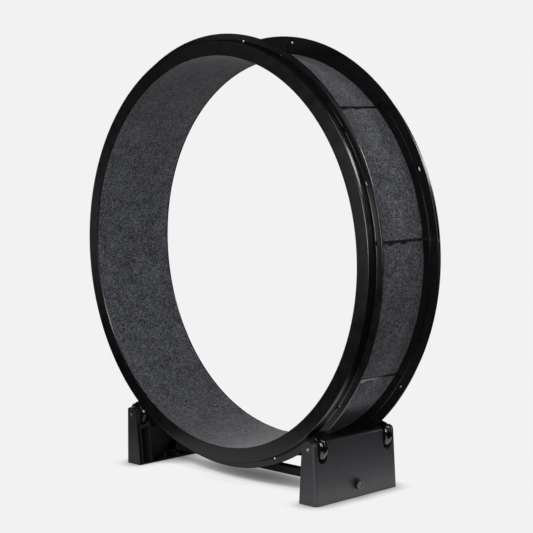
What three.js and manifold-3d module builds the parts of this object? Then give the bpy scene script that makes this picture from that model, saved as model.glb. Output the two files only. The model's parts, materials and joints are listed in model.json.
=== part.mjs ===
// Cat exercise wheel: a felt-lined running wheel between two black rims, turning on four
// rollers in two floor stands that a crossbar ties together.
// Millimetres, +Z up. X runs from the left stand to the right one, Y is the wheel's axis with
// the front rim on its negative side, and the origin is on the floor under the wheel's centre.
import * as THREE from 'three';
import { mergeVertices } from 'three/addons/utils/BufferGeometryUtils.js';
import Module from 'manifold-3d';

// ---------------------------------------------------------------- driving dimensions

// Clearances
const fitGap = 0.3; // between pieces that seat on each other
const floorGap = 41; // from the floor up to the lowest point of the rim flanges
const rimToStand = 6; // from the rim flanges to the roof of a stand

// Wheel
const treadRadius = 572; // the track on each rim that the rollers carry
const flangeHeight = 18; // flange above the track, which keeps the rollers on it
const faceDepth = 41; // flat outer face of a rim, from its inner lip to the track
const wheelWidth = 271; // over the outer faces of the two rims
const faceWall = 3.5; // outer face wall of a rim
const trackWall = 4; // wall under the track
const flangeThickness = 4; // at the top of a flange
const flangeDraft = 2.5; // how far a flange leans inboard over its height
const innerWall = 3.5; // wall of a rim that stands on the felt panels
const innerWallProud = 2.5; // how far the foot of that wall stands inboard of the flange
const innerWallDrop = 7; // from the track down to the ledge of that foot
const faceEdge = 2; // rounding between the outer face and the track
const rimSegments = 8; // moulded segments in one rim
const frontJoint = 23.2; // angle of one segment joint of the front rim, from +X towards +Z
const rearJoint = 3.9; // the same on the rear rim
const windowsPerSegment = 3; // clip windows through the flange of one segment
const windowOffset = 3.75; // degrees from a joint to the first window
const windowLength = 11; // along the rim
const windowHeight = 4; // above the track
const pocketLength = 18; // shallow pocket in the track in front of a window
const pocketWidth = 10;
const pocketDepth = 2;

// Felt running surface
const matThickness = 3;
const panelThickness = 8.4;
const panelCount = 9;
const panelJoint = 4.5; // angle of one panel joint, from +X towards +Z
const stripWeb = 4; // joint strip, the part between two panels
const stripCap = 6.4; // joint strip, the flat cap outside the panels
const stripCapThickness = 1.5;
const stripLug = 3.2; // upright lug at each end of a strip, against the rim wall
const stripTabLength = 18; // two tabs on one side of the cap
const stripTabReach = 5;
const stripTabSpacing = 48; // between the centres of the two tabs

// Rollers
const rollerRadius = 36;
const rollerWidth = 24;
const rollerShoulder = 25.5; // radius of the tyre where its flat side faces end
const rollerSideGap = 1.5; // from a roller to the rim face on one side and the flange on the other
const rollerAngle = 37; // from straight below the wheel's axis to each axle
const hubRadius = 23;
const hubWidth = 20;
const bearingRadius = 11;
const bearingWidth = 7;
const bearingSpacing = 5; // between the two bearings
const spacerRadius = 6.5;
const axleRadius = 4;
const axleProud = 1; // how far an axle stands out of the end face

// Stands
const domeRadius = 22; // rounded top of each end, about the axle
const baseInner = 35; // foot of the inner edge, from below the axle
const baseOuter = 28; // foot of the outer face, from below the axle
const wellSideGap = 4; // from a roller to each side of its well
const wellFloorGap = 2.5; // from a roller to the bottom of its well
const endThickness = 15.4; // end block, from the well to the end face
const endCorner = 9.5; // upright rounding between the end face and the outer face
const standWall = 3.5;
const wallTopAboveAxle = 17; // top of the outer face between the wells
const roofLand = 16; // flat top of the outer wall before the roof slopes down
const endPocketTop = 25; // solid block kept below the axle in an end block
const ribInset = 3; // how far the ribs stand back from the open side
const ribBays = 4; // crossed bays between the two wells
const ribThickness = 3;
const ribBandBottom = 24; // height of the lower nodes of the crossed ribs
const ribBandTop = 96; // height of the upper nodes
const footLength = 30;
const footWidth = 46;
const footThickness = 2.7;
const footCorner = 4;
const footProud = 1; // how far a foot stands below the housing

// Crossbar and its hand screws
const barWidth = 25;
const barHeight = 22.5;
const barAboveFloor = 23;
const barWall = 2;
const barEndPlate = 4;
const barCorner = 2;
const socketFloor = 6; // stand wall left behind the end of the bar
const socketCollar = 3.5;
const screwRadius = 4;
const screwReach = 8; // length of the screw inside the bar
const knobRadius = 13.5;
const knobHeight = 11;
const knobCrown = 2; // rounding of the knob's top
const knobLobes = 10;
const knobLobeDepth = 1.2;
const knobDishRadius = 8; // shallow dish in the knob's face
const knobDishDepth = 1.5;
const knobPad = 15.5; // flat round pad on the stand under the knob

// Facets
const ringStep = 5; // degrees per facet of the rims and the running surface
const tyreFacets = 24;
const domeFacets = 20; // half a turn
const smallFacets = 16;

// ---------------------------------------------------------------- derived sizes

const degree = Math.PI / 180;
const flangeRadius = treadRadius + flangeHeight;
const innerRadius = treadRadius - faceDepth;
const matOuter = innerRadius + matThickness;
const panelInner = matOuter + fitGap;
const panelOuter = panelInner + panelThickness;
const wallFoot = panelOuter + fitGap;
const ledgeRadius = treadRadius - innerWallDrop;

const halfWheel = wheelWidth / 2;
const rollerY = halfWheel - rollerSideGap - rollerWidth / 2;
const flangeY = halfWheel - rollerWidth - 2 * rollerSideGap;
const flangeTopY = flangeY - flangeDraft;
const wallY = flangeTopY - flangeThickness;
const footY = wallY - innerWallProud;
const liningHalf = halfWheel - faceWall - fitGap;

const axleDistance = treadRadius + fitGap + rollerRadius;
const axleX = axleDistance * Math.sin(rollerAngle * degree);
const axisHeight = floorGap + flangeRadius;
const axleHeight = axisHeight - axleDistance * Math.cos(rollerAngle * degree);

const wellHalf = rollerWidth / 2 + wellSideGap;
const wellBottom = axleHeight - rollerRadius - wellFloorGap;
const wellOuterY = rollerY + wellHalf;
const wellInnerY = rollerY - wellHalf;
const standHalf = wellOuterY + endThickness;
const middleHalf = wellInnerY - standWall;
const wallTop = axleHeight + wallTopAboveAxle;
const floorTop = footProud + standWall;
const barCentre = barAboveFloor + barHeight / 2;
const faceSlope = (baseOuter - domeRadius) / (axleHeight - footProud);
const outerFaceU = (z) => baseOuter - faceSlope * (z - footProud); // how far out the face lies
const screwFaceU = outerFaceU(barCentre - knobPad);
const wallInnerAtBar = outerFaceU(barAboveFloor + barHeight) - standWall;
const socketU = Math.min(wallInnerAtBar, screwFaceU - socketFloor);
const barHalf = axleX + socketU - fitGap;
const far = 2 * flangeRadius;
const facetCorner = (frontJoint + rearJoint + ringStep) / 2; // shared by every ring of the wheel

// ---------------------------------------------------------------- solids

const wasm = await Module();
wasm.setup();

// A three.js geometry as a closed solid, with shared corners merged and faces pointing out.
function solidOf(geometry) {
  const bare = geometry.index ? geometry.toNonIndexed() : geometry.clone();
  bare.deleteAttribute('normal');
  bare.deleteAttribute('uv');
  const merged = mergeVertices(bare, 1e-4);
  const corners = Float32Array.from(merged.attributes.position.array);
  const index = merged.index.array;
  const a = new THREE.Vector3();
  const b = new THREE.Vector3();
  const c = new THREE.Vector3();
  const triangles = [];
  let volume = 0;
  for (let i = 0; i < index.length; i += 3) {
    const [p, q, r] = [index[i], index[i + 1], index[i + 2]];
    if (p === q || q === r || r === p) continue;
    triangles.push([p, q, r]);
    a.fromArray(corners, 3 * p);
    b.fromArray(corners, 3 * q);
    c.fromArray(corners, 3 * r);
    volume += a.dot(b.cross(c));
  }
  const outward = volume < 0 ? triangles.map(([p, q, r]) => [p, r, q]) : triangles;
  const triVerts = Uint32Array.from(outward.flat());
  return new wasm.Manifold(new wasm.Mesh({ numProp: 3, vertProperties: corners, triVerts }));
}

function geometryOf(solid) {
  const mesh = solid.getMesh();
  const geometry = new THREE.BufferGeometry();
  geometry.setAttribute('position', new THREE.BufferAttribute(mesh.vertProperties, 3));
  geometry.setIndex(new THREE.BufferAttribute(mesh.triVerts, 1));
  geometry.computeVertexNormals();
  return geometry;
}

function box(x0, x1, y0, y1, z0, z1) {
  const geometry = new THREE.BoxGeometry(x1 - x0, y1 - y0, z1 - z0);
  geometry.translate((x0 + x1) / 2, (y0 + y1) / 2, (z0 + z1) / 2);
  return solidOf(geometry);
}

// A round rod along Y or X.
function rodY(radius, y0, y1, x, z, facets = smallFacets) {
  const geometry = new THREE.CylinderGeometry(radius, radius, y1 - y0, facets);
  geometry.translate(x, (y0 + y1) / 2, z);
  return solidOf(geometry);
}

function rodX(radius, x0, x1, y, z, facets = smallFacets) {
  const geometry = new THREE.CylinderGeometry(radius, radius, x1 - x0, facets);
  geometry.rotateZ(Math.PI / 2);
  geometry.translate((x0 + x1) / 2, y, z);
  return solidOf(geometry);
}

// A profile of [radius, y] points turned about the Y axis.
function turned(profile, facets, firstAngle = 0) {
  const closed = [...profile, profile[0]].map(([radius, y]) => new THREE.Vector2(radius, y));
  const geometry = new THREE.LatheGeometry(closed, facets);
  geometry.rotateY(-firstAngle * degree);
  return solidOf(geometry);
}

// A shape drawn in X and Z, extruded along Y from y0 to y1.
function extrudedY(shape, y0, y1, curveSegments = 12) {
  const depth = y1 - y0;
  const geometry = new THREE.ExtrudeGeometry(shape, { depth, bevelEnabled: false, curveSegments });
  geometry.rotateX(Math.PI / 2);
  geometry.translate(0, y1, 0);
  return solidOf(geometry);
}

// A shape drawn in Y and Z, extruded along X from x0 to x1.
function extrudedX(shape, x0, x1, curveSegments = 12) {
  const depth = x1 - x0;
  const geometry = new THREE.ExtrudeGeometry(shape, { depth, bevelEnabled: false, curveSegments });
  geometry.rotateX(Math.PI / 2);
  geometry.rotateZ(Math.PI / 2);
  geometry.translate(x0, 0, 0);
  return solidOf(geometry);
}

// The space between two joint planes that stand back by half the width of the joint.
function wedge(firstAngle, sweep, jointWidth) {
  const middle = (firstAngle + sweep / 2) * degree;
  const start = firstAngle * degree;
  const end = (firstAngle + sweep) * degree;
  const apex = jointWidth / 2 / Math.sin((sweep / 2) * degree);
  const tip = new THREE.Vector2(Math.cos(middle), Math.sin(middle)).multiplyScalar(apex);
  const shape = new THREE.Shape([
    tip,
    new THREE.Vector2(Math.cos(start), Math.sin(start)).multiplyScalar(far).add(tip),
    new THREE.Vector2(Math.cos(end), Math.sin(end)).multiplyScalar(far).add(tip),
  ]);
  return extrudedY(shape, -wheelWidth, wheelWidth);
}

// A block at an angle round the wheel, by its width along the rim, its radii and its Y range.
function blockAt(angle, t0, t1, r0, r1, y0, y1) {
  const geometry = new THREE.BoxGeometry(r1 - r0, y1 - y0, t1 - t0);
  geometry.translate((r0 + r1) / 2, (y0 + y1) / 2, (t0 + t1) / 2);
  geometry.rotateY(-angle * degree);
  return solidOf(geometry);
}

function roundedRectangle(width, height, corner) {
  const shape = new THREE.Shape();
  const w = width / 2;
  const h = height / 2;
  shape.moveTo(-w + corner, -h);
  shape.lineTo(w - corner, -h);
  shape.absarc(w - corner, -h + corner, corner, -Math.PI / 2, 0);
  shape.lineTo(w, h - corner);
  shape.absarc(w - corner, h - corner, corner, 0, Math.PI / 2);
  shape.lineTo(-w + corner, h);
  shape.absarc(-w + corner, h - corner, corner, Math.PI / 2, Math.PI);
  shape.lineTo(-w, -h + corner);
  shape.absarc(-w + corner, -h + corner, corner, Math.PI, 1.5 * Math.PI);
  return shape;
}

// ---------------------------------------------------------------- materials

const finish = (color, roughness, metalness = 0) => () => (
  new THREE.MeshStandardMaterial({ color, roughness, metalness })
);
const rimPlastic = finish(0x1a1b1d, 0.28);
const standPlastic = finish(0x232426, 0.5);
const feltGrey = finish(0x4b4c4f, 0.95);
const stripPlastic = finish(0x101112, 0.4);
const tyreRubber = finish(0x0c0c0d, 0.18);
const hubPlastic = finish(0x1c1d1f, 0.45);
const bearingSteel = finish(0x9a9c9f, 0.3, 1);
const axleSteel = finish(0xc4c6c8, 0.25, 1);
const barSteel = finish(0x202123, 0.45, 0.2);
const knobPlastic = finish(0x1b1c1e, 0.4);
const footRubber = finish(0x161617, 0.8);

function piece(name, geometry, material) {
  const mesh = new THREE.Mesh(geometry, material);
  mesh.name = name;
  return mesh;
}

// ---------------------------------------------------------------- wheel

// Section of a rim, on the side where y is positive: outer face, track, flange, inner wall.
function rimProfile() {
  const wallInside = wallY + innerWall;
  const trackUnder = treadRadius - trackWall;
  return [
    [innerRadius, halfWheel - faceWall],
    [innerRadius, halfWheel],
    [treadRadius - faceEdge, halfWheel],
    [treadRadius - faceEdge * 0.3, halfWheel - faceEdge * 0.3],
    [treadRadius, halfWheel - faceEdge],
    [treadRadius, flangeY],
    [flangeRadius - 1, flangeTopY],
    [flangeRadius, flangeTopY - 1],
    [flangeRadius, wallY],
    [ledgeRadius, wallY],
    [ledgeRadius, footY],
    [wallFoot, footY],
    [wallFoot, wallInside],
    [trackUnder, wallInside],
    [trackUnder, halfWheel - faceWall],
  ];
}

// One rim segment with its clip windows, from joint to joint.
function rimSegment() {
  const sweep = 360 / rimSegments;
  const ring = turned(rimProfile(), 360 / ringStep, facetCorner - rearJoint);
  let solid = ring.intersect(wedge(0, sweep, fitGap));
  const spacing = sweep / windowsPerSegment;
  for (let i = 0; i < windowsPerSegment; i += 1) {
    const angle = windowOffset + i * spacing;
    const half = windowLength / 2;
    const top = treadRadius + windowHeight;
    solid = solid.subtract(blockAt(angle, -half, half, treadRadius - 1, top, wallY - 1, flangeY + 1));
    const pocketHalf = pocketLength / 2;
    const pocketFloor = treadRadius - pocketDepth;
    const pocketEnd = flangeY + pocketWidth;
    solid = solid.subtract(
      blockAt(angle, -pocketHalf, pocketHalf, pocketFloor, top, flangeY + 0.2, pocketEnd),
    );
  }
  return solid;
}

// The rear rim is the drawn one. The front rim is the same moulding turned end for end.
function rims() {
  const group = new THREE.Group();
  const geometry = geometryOf(rimSegment());
  const sweep = 360 / rimSegments;
  for (let i = 0; i < rimSegments; i += 1) {
    const rear = piece(`rim_rear_segment_${i + 1}`, geometry, rimPlastic());
    rear.rotation.y = -(rearJoint + i * sweep) * degree;
    group.add(rear);
    const front = piece(`rim_front_segment_${i + 1}`, geometry, rimPlastic());
    front.rotation.set(Math.PI, 0, 0);
    const turn = new THREE.Group();
    turn.rotation.y = -(frontJoint + i * sweep) * degree;
    turn.add(front);
    group.add(turn);
  }
  return group;
}

function runningMat() {
  const profile = [
    [innerRadius, -liningHalf],
    [innerRadius, liningHalf],
    [matOuter, liningHalf],
    [matOuter, -liningHalf],
  ];
  return piece('running_mat', geometryOf(turned(profile, 360 / ringStep, facetCorner)), feltGrey());
}

function trackPanels() {
  const group = new THREE.Group();
  const sweep = 360 / panelCount;
  const profile = [
    [panelInner, -liningHalf],
    [panelInner, liningHalf],
    [panelOuter, liningHalf],
    [panelOuter, -liningHalf],
  ];
  const cut = wedge(0, sweep, stripWeb + 2 * fitGap);
  const ring = turned(profile, 360 / ringStep, facetCorner - panelJoint);
  const geometry = geometryOf(ring.intersect(cut));
  for (let i = 0; i < panelCount; i += 1) {
    const panel = piece(`track_panel_${i + 1}`, geometry, feltGrey());
    panel.rotation.y = -(panelJoint + i * sweep) * degree;
    group.add(panel);
  }
  return group;
}

// A strip closes each panel joint: a web between the panels, a cap outside them with two tabs,
// and a lug at each end that stands against the inner wall of the rim.
function jointStrip() {
  const capTop = wallFoot + stripCapThickness;
  const capEnd = footY - fitGap;
  const capHalf = stripCap / 2;
  const band = (r0, r1, end) => {
    const profile = [[r0, -end], [r0, end], [r1, end], [r1, -end]];
    return turned(profile, 360 / ringStep, facetCorner - panelJoint);
  };
  const slab = (t0, t1, y0, y1) => box(0, far, y0, y1, t0, t1);
  const web = slab(-stripWeb / 2, stripWeb / 2, -halfWheel, halfWheel);
  let cap = slab(-capHalf, capHalf, -halfWheel, halfWheel);
  const lugs = [-1, 1].map((side) => {
    const ends = [side * (capEnd - stripLug), side * capEnd].sort((p, q) => p - q);
    return blockAt(0, -capHalf, capHalf, wallFoot, ledgeRadius - 2 * fitGap, ...ends);
  });
  for (const side of [-1, 1]) {
    const middle = (side * stripTabSpacing) / 2;
    const half = stripTabLength / 2;
    cap = cap.add(slab(-capHalf - stripTabReach, 0, middle - half, middle + half));
  }
  return band(panelInner, panelOuter, liningHalf).intersect(web)
    .add(band(panelOuter - 1, wallFoot + 0.5, capEnd).intersect(web))
    .add(band(wallFoot, capTop, capEnd).intersect(cap))
    .add(lugs[0])
    .add(lugs[1]);
}

function jointStrips() {
  const group = new THREE.Group();
  const geometry = geometryOf(jointStrip());
  for (let i = 0; i < panelCount; i += 1) {
    const strip = piece(`panel_joint_strip_${i + 1}`, geometry, stripPlastic());
    strip.rotation.y = -(panelJoint + (i * 360) / panelCount) * degree;
    group.add(strip);
  }
  return group;
}

function wheel() {
  const group = new THREE.Group();
  group.position.z = axisHeight;
  group.add(rims(), runningMat(), trackPanels(), jointStrips());
  return group;
}

// ---------------------------------------------------------------- rollers

// A round-nosed tyre: an ellipse from one side face over the tread to the other.
function tyre() {
  const bore = hubRadius + fitGap;
  const half = rollerWidth / 2;
  const profile = [[bore, half - 1], [bore, -half + 1]];
  const steps = 8;
  for (let i = 0; i <= steps; i += 1) {
    const t = (i / steps - 0.5) * Math.PI;
    const crown = rollerShoulder + (rollerRadius - rollerShoulder) * Math.cos(t);
    profile.push([crown, half * Math.sin(t)]);
  }
  return turned(profile, tyreFacets);
}

function hub() {
  const bore = bearingRadius + fitGap;
  const shoulder = spacerRadius + fitGap;
  const half = hubWidth / 2;
  const stop = bearingSpacing / 2 - fitGap;
  return turned([
    [bore, half],
    [hubRadius - 1, half],
    [hubRadius, half - 1],
    [hubRadius, 1 - half],
    [hubRadius - 1, -half],
    [bore, -half],
    [bore, -stop],
    [shoulder, -stop],
    [shoulder, stop],
    [bore, stop],
  ], smallFacets);
}

// Two bearings on one spacer sleeve.
function bearings() {
  const bore = axleRadius + fitGap;
  const inner = bearingSpacing / 2;
  const outer = inner + bearingWidth;
  return turned([
    [bore, -outer],
    [bearingRadius, -outer],
    [bearingRadius, -inner],
    [spacerRadius, -inner],
    [spacerRadius, inner],
    [bearingRadius, inner],
    [bearingRadius, outer],
    [bore, outer],
  ], smallFacets);
}

function axle() {
  const outer = standHalf + axleProud - rollerY;
  const inner = -wellHalf - standWall;
  return turned([
    [0, inner],
    [axleRadius, inner],
    [axleRadius, outer - 0.6],
    [axleRadius - 0.6, outer],
    [0, outer],
  ], smallFacets);
}

function rollers() {
  const group = new THREE.Group();
  const shapes = {
    tyre: geometryOf(tyre()),
    hub: geometryOf(hub()),
    bearings: geometryOf(bearings()),
    axle: geometryOf(axle()),
  };
  for (const [sideName, side] of [['left', -1], ['right', 1]]) {
    for (const [endName, end] of [['front', -1], ['rear', 1]]) {
      const place = `${sideName}_${endName}`;
      const spot = new THREE.Group();
      spot.position.set(side * axleX, end * rollerY, axleHeight);
      spot.rotation.x = end < 0 ? Math.PI : 0;
      spot.add(piece(`roller_tyre_${place}`, shapes.tyre, tyreRubber()));
      spot.add(piece(`roller_hub_${place}`, shapes.hub, hubPlastic()));
      spot.add(piece(`roller_bearings_${place}`, shapes.bearings, bearingSteel()));
      spot.add(piece(`roller_axle_${place}`, shapes.axle, axleSteel()));
      group.add(spot);
    }
  }
  return group;
}

// ---------------------------------------------------------------- stands

// Outline of a stand's end, in u outward from the axle and z: sloping sides under a dome.
function endOutline() {
  const shape = new THREE.Shape();
  shape.moveTo(-baseInner, footProud);
  shape.lineTo(baseOuter, footProud);
  shape.lineTo(domeRadius, axleHeight);
  shape.absarc(0, axleHeight, domeRadius, 0, Math.PI);
  shape.lineTo(-baseInner, footProud);
  return shape;
}

// Outline between the wells: the same sides under a flat top, whose inner part the wheel's
// clearance then cuts away.
function middleOutline() {
  const shape = new THREE.Shape();
  const corner = 3;
  const topOuter = outerFaceU(wallTop);
  shape.moveTo(-baseInner, footProud);
  shape.lineTo(baseOuter, footProud);
  shape.lineTo(topOuter, wallTop - corner);
  shape.lineTo(topOuter - corner, wallTop);
  shape.lineTo(topOuter - corner - roofLand, wallTop);
  shape.lineTo(-domeRadius, wallTop);
  shape.lineTo(-domeRadius, axleHeight);
  shape.lineTo(-baseInner, footProud);
  return shape;
}

// The well that a roller sits in: upright sides and a round floor, open at the top.
function wellOutline(centre) {
  const shape = new THREE.Shape();
  shape.moveTo(centre - wellHalf, axleHeight + far);
  shape.lineTo(centre - wellHalf, wellBottom + wellHalf);
  shape.absarc(centre, wellBottom + wellHalf, wellHalf, Math.PI, 2 * Math.PI);
  shape.lineTo(centre + wellHalf, axleHeight + far);
  return shape;
}

// Space inside the outer wall, open on the side that faces the wheel.
function cavity(y0, y1, top) {
  const shape = new THREE.Shape();
  shape.moveTo(-far, floorTop);
  shape.lineTo(outerFaceU(floorTop) - standWall, floorTop);
  shape.lineTo(outerFaceU(top) - standWall, top);
  shape.lineTo(-far, top);
  return extrudedY(shape, y0, y1);
}

// Everything on the wheel's side of the plane in which the edges of the ribs lie.
function openSide() {
  const shape = new THREE.Shape();
  const edge = ribInset - baseInner;
  const slope = (baseInner - domeRadius) / (axleHeight - footProud);
  shape.moveTo(-far, 0);
  shape.lineTo(edge, 0);
  shape.lineTo(edge + slope * 2 * axleHeight, 2 * axleHeight);
  shape.lineTo(-far, 2 * axleHeight);
  return extrudedY(shape, -standHalf, standHalf);
}

// A straight rib in the Y-Z plane from one node to another.
function rib(yA, zA, yB, zB) {
  const length = Math.hypot(yB - yA, zB - zA) + ribThickness;
  const geometry = new THREE.BoxGeometry(far, length, ribThickness);
  geometry.rotateX(Math.atan2(zB - zA, yB - yA));
  geometry.translate(0, (yA + yB) / 2, (zA + zB) / 2);
  return solidOf(geometry);
}

function ribs() {
  const bay = (2 * middleHalf) / ribBays;
  let solid = rib(-middleHalf, ribBandBottom, middleHalf, ribBandBottom);
  solid = solid.add(rib(-middleHalf, ribBandTop, middleHalf, ribBandTop));
  for (let i = 0; i < ribBays; i += 1) {
    const y0 = -middleHalf + i * bay;
    const y1 = y0 + bay;
    solid = solid.add(rib(y0, ribBandBottom, y1, ribBandTop));
    solid = solid.add(rib(y0, ribBandTop, y1, ribBandBottom));
    if (i > 0) solid = solid.add(rib(y0, 0, y0, wallTop));
  }
  return solid;
}

// What the upright rounding takes off the rear corner, along the slope of the outer face.
function cornerWaste() {
  const shape = new THREE.Shape();
  shape.moveTo(-endCorner, standHalf + 1);
  shape.lineTo(endCorner, standHalf + 1);
  shape.lineTo(endCorner, standHalf - endCorner);
  shape.absarc(-endCorner, standHalf - endCorner, endCorner, 0, Math.PI / 2);
  const depth = 2 * axleHeight;
  const geometry = new THREE.ExtrudeGeometry(shape, { depth, bevelEnabled: false, curveSegments: 6 });
  geometry.applyMatrix4(new THREE.Matrix4().makeShear(0, 0, 0, 0, -faceSlope, 0));
  geometry.translate(outerFaceU(0), 0, 0);
  return solidOf(geometry);
}

// The end block at the rear, with its dome and its rounded corner.
function endBlock() {
  return extrudedY(endOutline(), wellOuterY, standHalf, domeFacets).subtract(cornerWaste());
}

// One stand housing, drawn with u outward from the axle as X. It is alike front to back.
function housing() {
  const ends = endBlock().add(endBlock().mirror([0, 1, 0]));
  const middle = extrudedY(middleOutline(), -wellOuterY - 0.5, wellOuterY + 0.5);
  const sweep = rodY(flangeRadius + rimToStand, -wellOuterY - 1, wellOuterY + 1, -axleX, axisHeight, 144);
  const outer = middle.subtract(sweep).add(ends);
  const roofUnder = rodY(
    flangeRadius + rimToStand + standWall, -standHalf, standHalf, -axleX, axisHeight, 144,
  );

  const collarY = barWidth / 2 + fitGap + socketCollar;
  const collarZ = barHeight / 2 + fitGap + socketCollar;
  const collar = box(-far, far, -collarY, collarY, barCentre - collarZ, barCentre + collarZ);
  const inside = ribs().add(collar).subtract(openSide());
  const underRoof = cavity(-middleHalf, middleHalf, wallTop - standWall).subtract(roofUnder);

  let solid = outer.subtract(underRoof.subtract(inside));
  for (const side of [-1, 1]) {
    const underWell = [side * wellInnerY, side * wellOuterY].sort((p, q) => p - q);
    solid = solid.subtract(cavity(...underWell, wellBottom - standWall));
    const inEnd = [side * (wellOuterY + standWall), side * (standHalf - standWall)].sort((p, q) => p - q);
    solid = solid.subtract(cavity(...inEnd, axleHeight - endPocketTop));
  }
  const pad = rodX(knobPad, 0, screwFaceU, 0, barCentre, 32);
  solid = solid.add(pad.subtract(box(-far, socketU, -far, far, -far, far)));

  for (const side of [-1, 1]) {
    solid = solid.subtract(extrudedX(wellOutline(side * rollerY), -far, far, 8));
    const bore = [side * (middleHalf - 1), side * (standHalf + 1)].sort((p, q) => p - q);
    solid = solid.subtract(rodY(axleRadius + fitGap, ...bore, 0, axleHeight));
    solid = solid.subtract(footBlock(side, fitGap));
  }
  const barHole = [barWidth / 2 + fitGap, barHeight / 2 + fitGap];
  solid = solid.subtract(
    box(-far, socketU, -barHole[0], barHole[0], barCentre - barHole[1], barCentre + barHole[1]),
  );
  solid = solid.subtract(rodX(screwRadius + fitGap, -1, far, 0, barCentre));
  return solid;
}

// A rubber foot, or with a clearance its seat, under one end of a stand.
function footBlock(side, clearance) {
  const shape = roundedRectangle(footWidth + 2 * clearance, footLength + 2 * clearance, footCorner);
  const depth = footThickness + clearance;
  const geometry = new THREE.ExtrudeGeometry(shape, { depth, bevelEnabled: false, curveSegments: 3 });
  geometry.translate((baseOuter - baseInner) / 2, side * rollerY, 0);
  return solidOf(geometry);
}

function stands() {
  const group = new THREE.Group();
  const shell = geometryOf(housing());
  const foot = geometryOf(footBlock(1, 0));
  const otherFoot = geometryOf(footBlock(-1, 0));
  for (const [name, side] of [['left', -1], ['right', 1]]) {
    const stand = new THREE.Group();
    stand.position.x = side * axleX;
    stand.rotation.z = side < 0 ? Math.PI : 0;
    stand.add(piece(`stand_housing_${name}`, shell, standPlastic()));
    stand.add(piece(`rubber_foot_${name}_${side < 0 ? 'front' : 'rear'}`, foot, footRubber()));
    stand.add(piece(`rubber_foot_${name}_${side < 0 ? 'rear' : 'front'}`, otherFoot, footRubber()));
    stand.add(piece(`crossbar_hand_screw_${name}`, geometryOf(handScrew()), knobPlastic()));
    group.add(stand);
  }
  return group;
}

// ---------------------------------------------------------------- crossbar

function crossbar() {
  const shape = roundedRectangle(barWidth, barHeight, barCorner);
  const depth = 2 * barHalf;
  const geometry = new THREE.ExtrudeGeometry(shape, { depth, bevelEnabled: false, curveSegments: 2 });
  geometry.rotateX(Math.PI / 2);
  geometry.rotateZ(Math.PI / 2);
  geometry.translate(-barHalf, 0, barCentre);
  const y = barWidth / 2 - barWall;
  const z = barHeight / 2 - barWall;
  const inside = barHalf - barEndPlate;
  const solid = solidOf(geometry)
    .subtract(box(-inside, inside, -y, y, barCentre - z, barCentre + z))
    .subtract(rodX(screwRadius + fitGap, -far, far, 0, barCentre));
  return piece('crossbar', geometryOf(solid), barSteel());
}

// A lobed knob with its screw, in the stand's own place: the screw goes into the bar's end.
function handScrew() {
  const outline = new THREE.Shape();
  const points = 6 * knobLobes;
  for (let i = 0; i < points; i += 1) {
    const t = (i / points) * 2 * Math.PI;
    const r = knobRadius - (knobLobeDepth * (1 - Math.cos(knobLobes * t))) / 2;
    if (i === 0) outline.moveTo(r * Math.cos(t), r * Math.sin(t));
    else outline.lineTo(r * Math.cos(t), r * Math.sin(t));
  }
  const seat = screwFaceU + fitGap;
  const head = new THREE.ExtrudeGeometry(outline, {
    depth: knobHeight - knobCrown,
    bevelEnabled: true,
    bevelThickness: knobCrown,
    bevelSize: knobCrown,
    bevelOffset: -knobCrown,
    bevelSegments: 2,
  });
  head.rotateY(Math.PI / 2);
  head.translate(seat, 0, barCentre);
  const behind = box(-far, seat, -far, far, -far, far);
  const shank = rodX(screwRadius, socketU - fitGap - barEndPlate - screwReach, seat + 1, 0, barCentre);
  const face = seat + knobHeight;
  const dish = rodX(knobDishRadius, face - knobDishDepth, face + 1, 0, barCentre, 24);
  return solidOf(head).subtract(behind).subtract(dish).add(shank);
}

// ---------------------------------------------------------------- assembly

const exerciseWheel = new THREE.Group();
exerciseWheel.add(wheel(), rollers(), stands(), crossbar());
exerciseWheel.updateMatrixWorld(true);

export default exerciseWheel;
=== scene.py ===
"""Cat exercise wheel: the looks of the felt-lined wheel, its rollers and its two floor stands.

Metres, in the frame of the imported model: X from the left stand to the right one, Y along the
wheel's axis towards the rear rim, +Z up, and the origin on the floor under the wheel's centre.
"""
import json
import math

import bpy
from mathutils import Matrix, Vector


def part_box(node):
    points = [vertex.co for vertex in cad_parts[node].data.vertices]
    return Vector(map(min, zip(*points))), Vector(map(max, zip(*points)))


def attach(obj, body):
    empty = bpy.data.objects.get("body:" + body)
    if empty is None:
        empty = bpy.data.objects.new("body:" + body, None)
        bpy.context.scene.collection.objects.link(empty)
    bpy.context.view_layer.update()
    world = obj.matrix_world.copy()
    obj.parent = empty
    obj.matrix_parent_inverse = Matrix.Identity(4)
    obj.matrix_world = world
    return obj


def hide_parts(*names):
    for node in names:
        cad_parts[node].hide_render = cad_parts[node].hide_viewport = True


MM = 0.001

# ---------------------------------------------------------------- frame

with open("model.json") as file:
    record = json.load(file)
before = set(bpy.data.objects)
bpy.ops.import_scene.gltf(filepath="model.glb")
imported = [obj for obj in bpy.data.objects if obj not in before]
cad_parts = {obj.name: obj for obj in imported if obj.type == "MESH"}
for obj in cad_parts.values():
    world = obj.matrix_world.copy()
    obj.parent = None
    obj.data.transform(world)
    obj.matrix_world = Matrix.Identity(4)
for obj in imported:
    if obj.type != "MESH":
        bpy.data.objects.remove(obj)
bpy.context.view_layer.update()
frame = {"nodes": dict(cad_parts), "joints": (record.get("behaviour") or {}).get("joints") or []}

JOINTS = {joint["name"]: joint for joint in frame["joints"]}
WHEEL_CENTRE = Vector((0, 0, JOINTS["wheel_spin"]["pos_m"][2]))
AXIS_MM = WHEEL_CENTRE.z / MM
PLACES = ["left_front", "left_rear", "right_front", "right_rear"]

# ---------------------------------------------------------------- sizes, in millimetres

FIT_GAP = 0.3  # between pieces that seat against each other

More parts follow.
